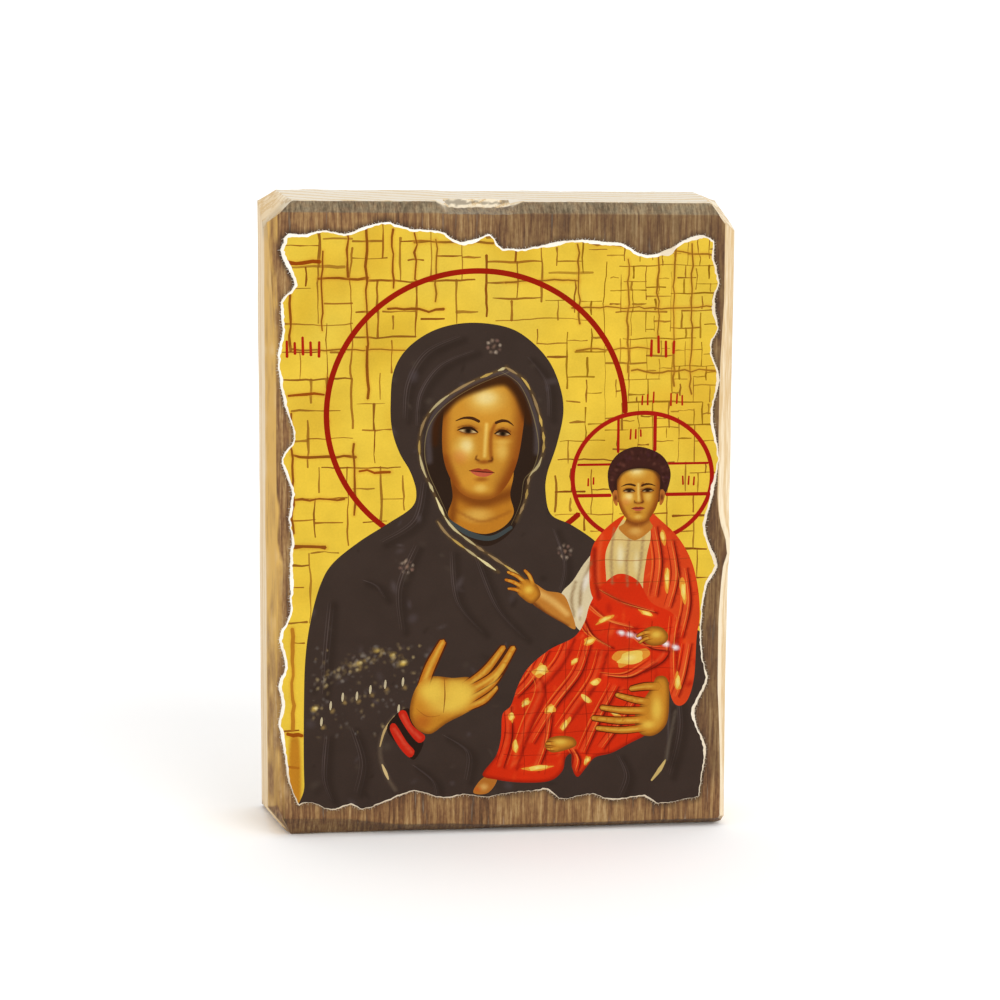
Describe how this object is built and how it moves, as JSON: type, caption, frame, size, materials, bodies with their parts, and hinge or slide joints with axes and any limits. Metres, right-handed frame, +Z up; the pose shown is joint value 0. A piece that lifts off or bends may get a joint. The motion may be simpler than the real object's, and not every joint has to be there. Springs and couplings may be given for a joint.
{
  "type": "icon panel",
  "caption": "Small souvenir icon: a torn printed paper picture glued to the face of a thick, bevelled softwood block that stands on its lower edge.",
  "frame": {"origin": "centre of the footprint, on the surface the block stands on", "axes": "+Z up along the picture, -Y out of the picture towards the viewer, +X to the viewer's right"},
  "size_m": [0.066, 0.0184, 0.0904],
  "materials": {
    "stained_pine": "brushed and stained face, bare sanded edges",
    "varnished_print": "satin varnish over print, white torn margin"
  },
  "bodies": {
    "root": {"wood_block": "stained_pine", "print_sheet": "varnished_print"}
  },
  "joints": []
}
